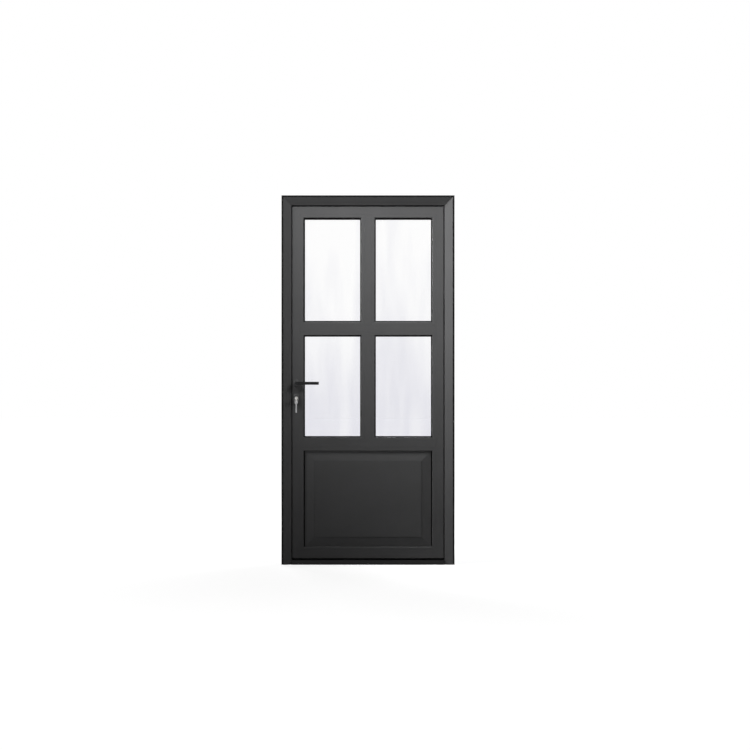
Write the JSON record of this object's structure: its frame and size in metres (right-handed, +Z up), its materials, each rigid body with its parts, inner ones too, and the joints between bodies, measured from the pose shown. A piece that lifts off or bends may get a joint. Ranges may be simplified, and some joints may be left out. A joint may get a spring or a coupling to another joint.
{
  "type": "glazed aluminium entrance door",
  "caption": "Dark grey aluminium entrance door in its frame: a hinged leaf with glazed bays over a raised panel, lever handles and a keyed lock.",
  "frame": {"origin": "middle of the threshold's underside, on the ground", "axes": "+Z up, +X along the wall towards the hinges, +Y through the wall to the side the leaf opens to"},
  "size_m": [1, 0.1705, 2.135],
  "materials": {
    "grey_paint": "satin powder coat",
    "black_metal": "satin black",
    "black_rubber": "matt",
    "steel": "brushed",
    "nickel": "satin nickel plate",
    "glass": "clear"
  },
  "bodies": {
    "frame": {"jamb_left": "grey_paint", "jamb_right": "grey_paint", "head": "grey_paint", "threshold": "black_metal", "frame_seal": "black_rubber", "strike_plates": "steel", "hinge_lower_frame": "black_metal", "hinge_middle_frame": "black_metal", "hinge_upper_frame": "black_metal"},
    "leaf": {"lock_stile": "grey_paint", "hinge_stile": "grey_paint", "top_rail": "grey_paint", "bottom_rail": "grey_paint", "mid_rail": "grey_paint", "transom": "grey_paint", "upper_mullion": "grey_paint", "lower_mullion": "grey_paint", "beads_upper_left": "grey_paint", "beads_upper_right": "grey_paint", "beads_lower_left": "grey_paint", "beads_lower_right": "grey_paint", "beads_panel": "grey_paint", "pane_upper_left": "glass", "pane_upper_right": "glass", "pane_lower_left": "glass", "pane_lower_right": "glass", "glazing_spacers": "steel", "front_gaskets": "black_rubber", "back_gaskets": "black_rubber", "bottom_panel": "grey_paint", "lock_faceplate": "steel", "latch_and_bolts": "steel", "outer_roses": "grey_paint", "inner_roses": "grey_paint", "lock_cylinder": "nickel", "hinge_lower_leaf": "black_metal", "hinge_middle_leaf": "black_metal", "hinge_upper_leaf": "black_metal"},
    "lever": {"outer_lever": "black_metal", "inner_lever": "black_metal", "spindle": "steel"},
    "key": {"cylinder_plug": "nickel", "key": "nickel"},
    "hanging_keys": {"key_ring": "steel", "spare_key": "steel"}
  },
  "joints": [
    {"name": "leaf_swing", "type": "hinge", "parent": "frame", "child": "leaf", "pos_m": [0.459, 0.051, 1.054], "axis": [0, 0, -1], "range_deg": [0, 110]},
    {"name": "lever_turn", "type": "hinge", "parent": "leaf", "child": "lever", "pos_m": [-0.414, 0.005, 1.049], "axis": [0, 1, 0], "range_deg": [0, 40], "stiffness_Nm_per_rad": 1.2, "springref_deg": -28.65},
    {"name": "key_turn", "type": "hinge", "parent": "leaf", "child": "key", "pos_m": [-0.414, -0.03, 0.964], "axis": [0, 1, 0], "continuous": true},
    {"name": "keys_swing", "type": "hinge", "parent": "leaf", "child": "hanging_keys", "pos_m": [-0.414, -0.0465, 0.964], "axis": [0, 1, 0], "range_deg": [-40, 40]}
  ]
}
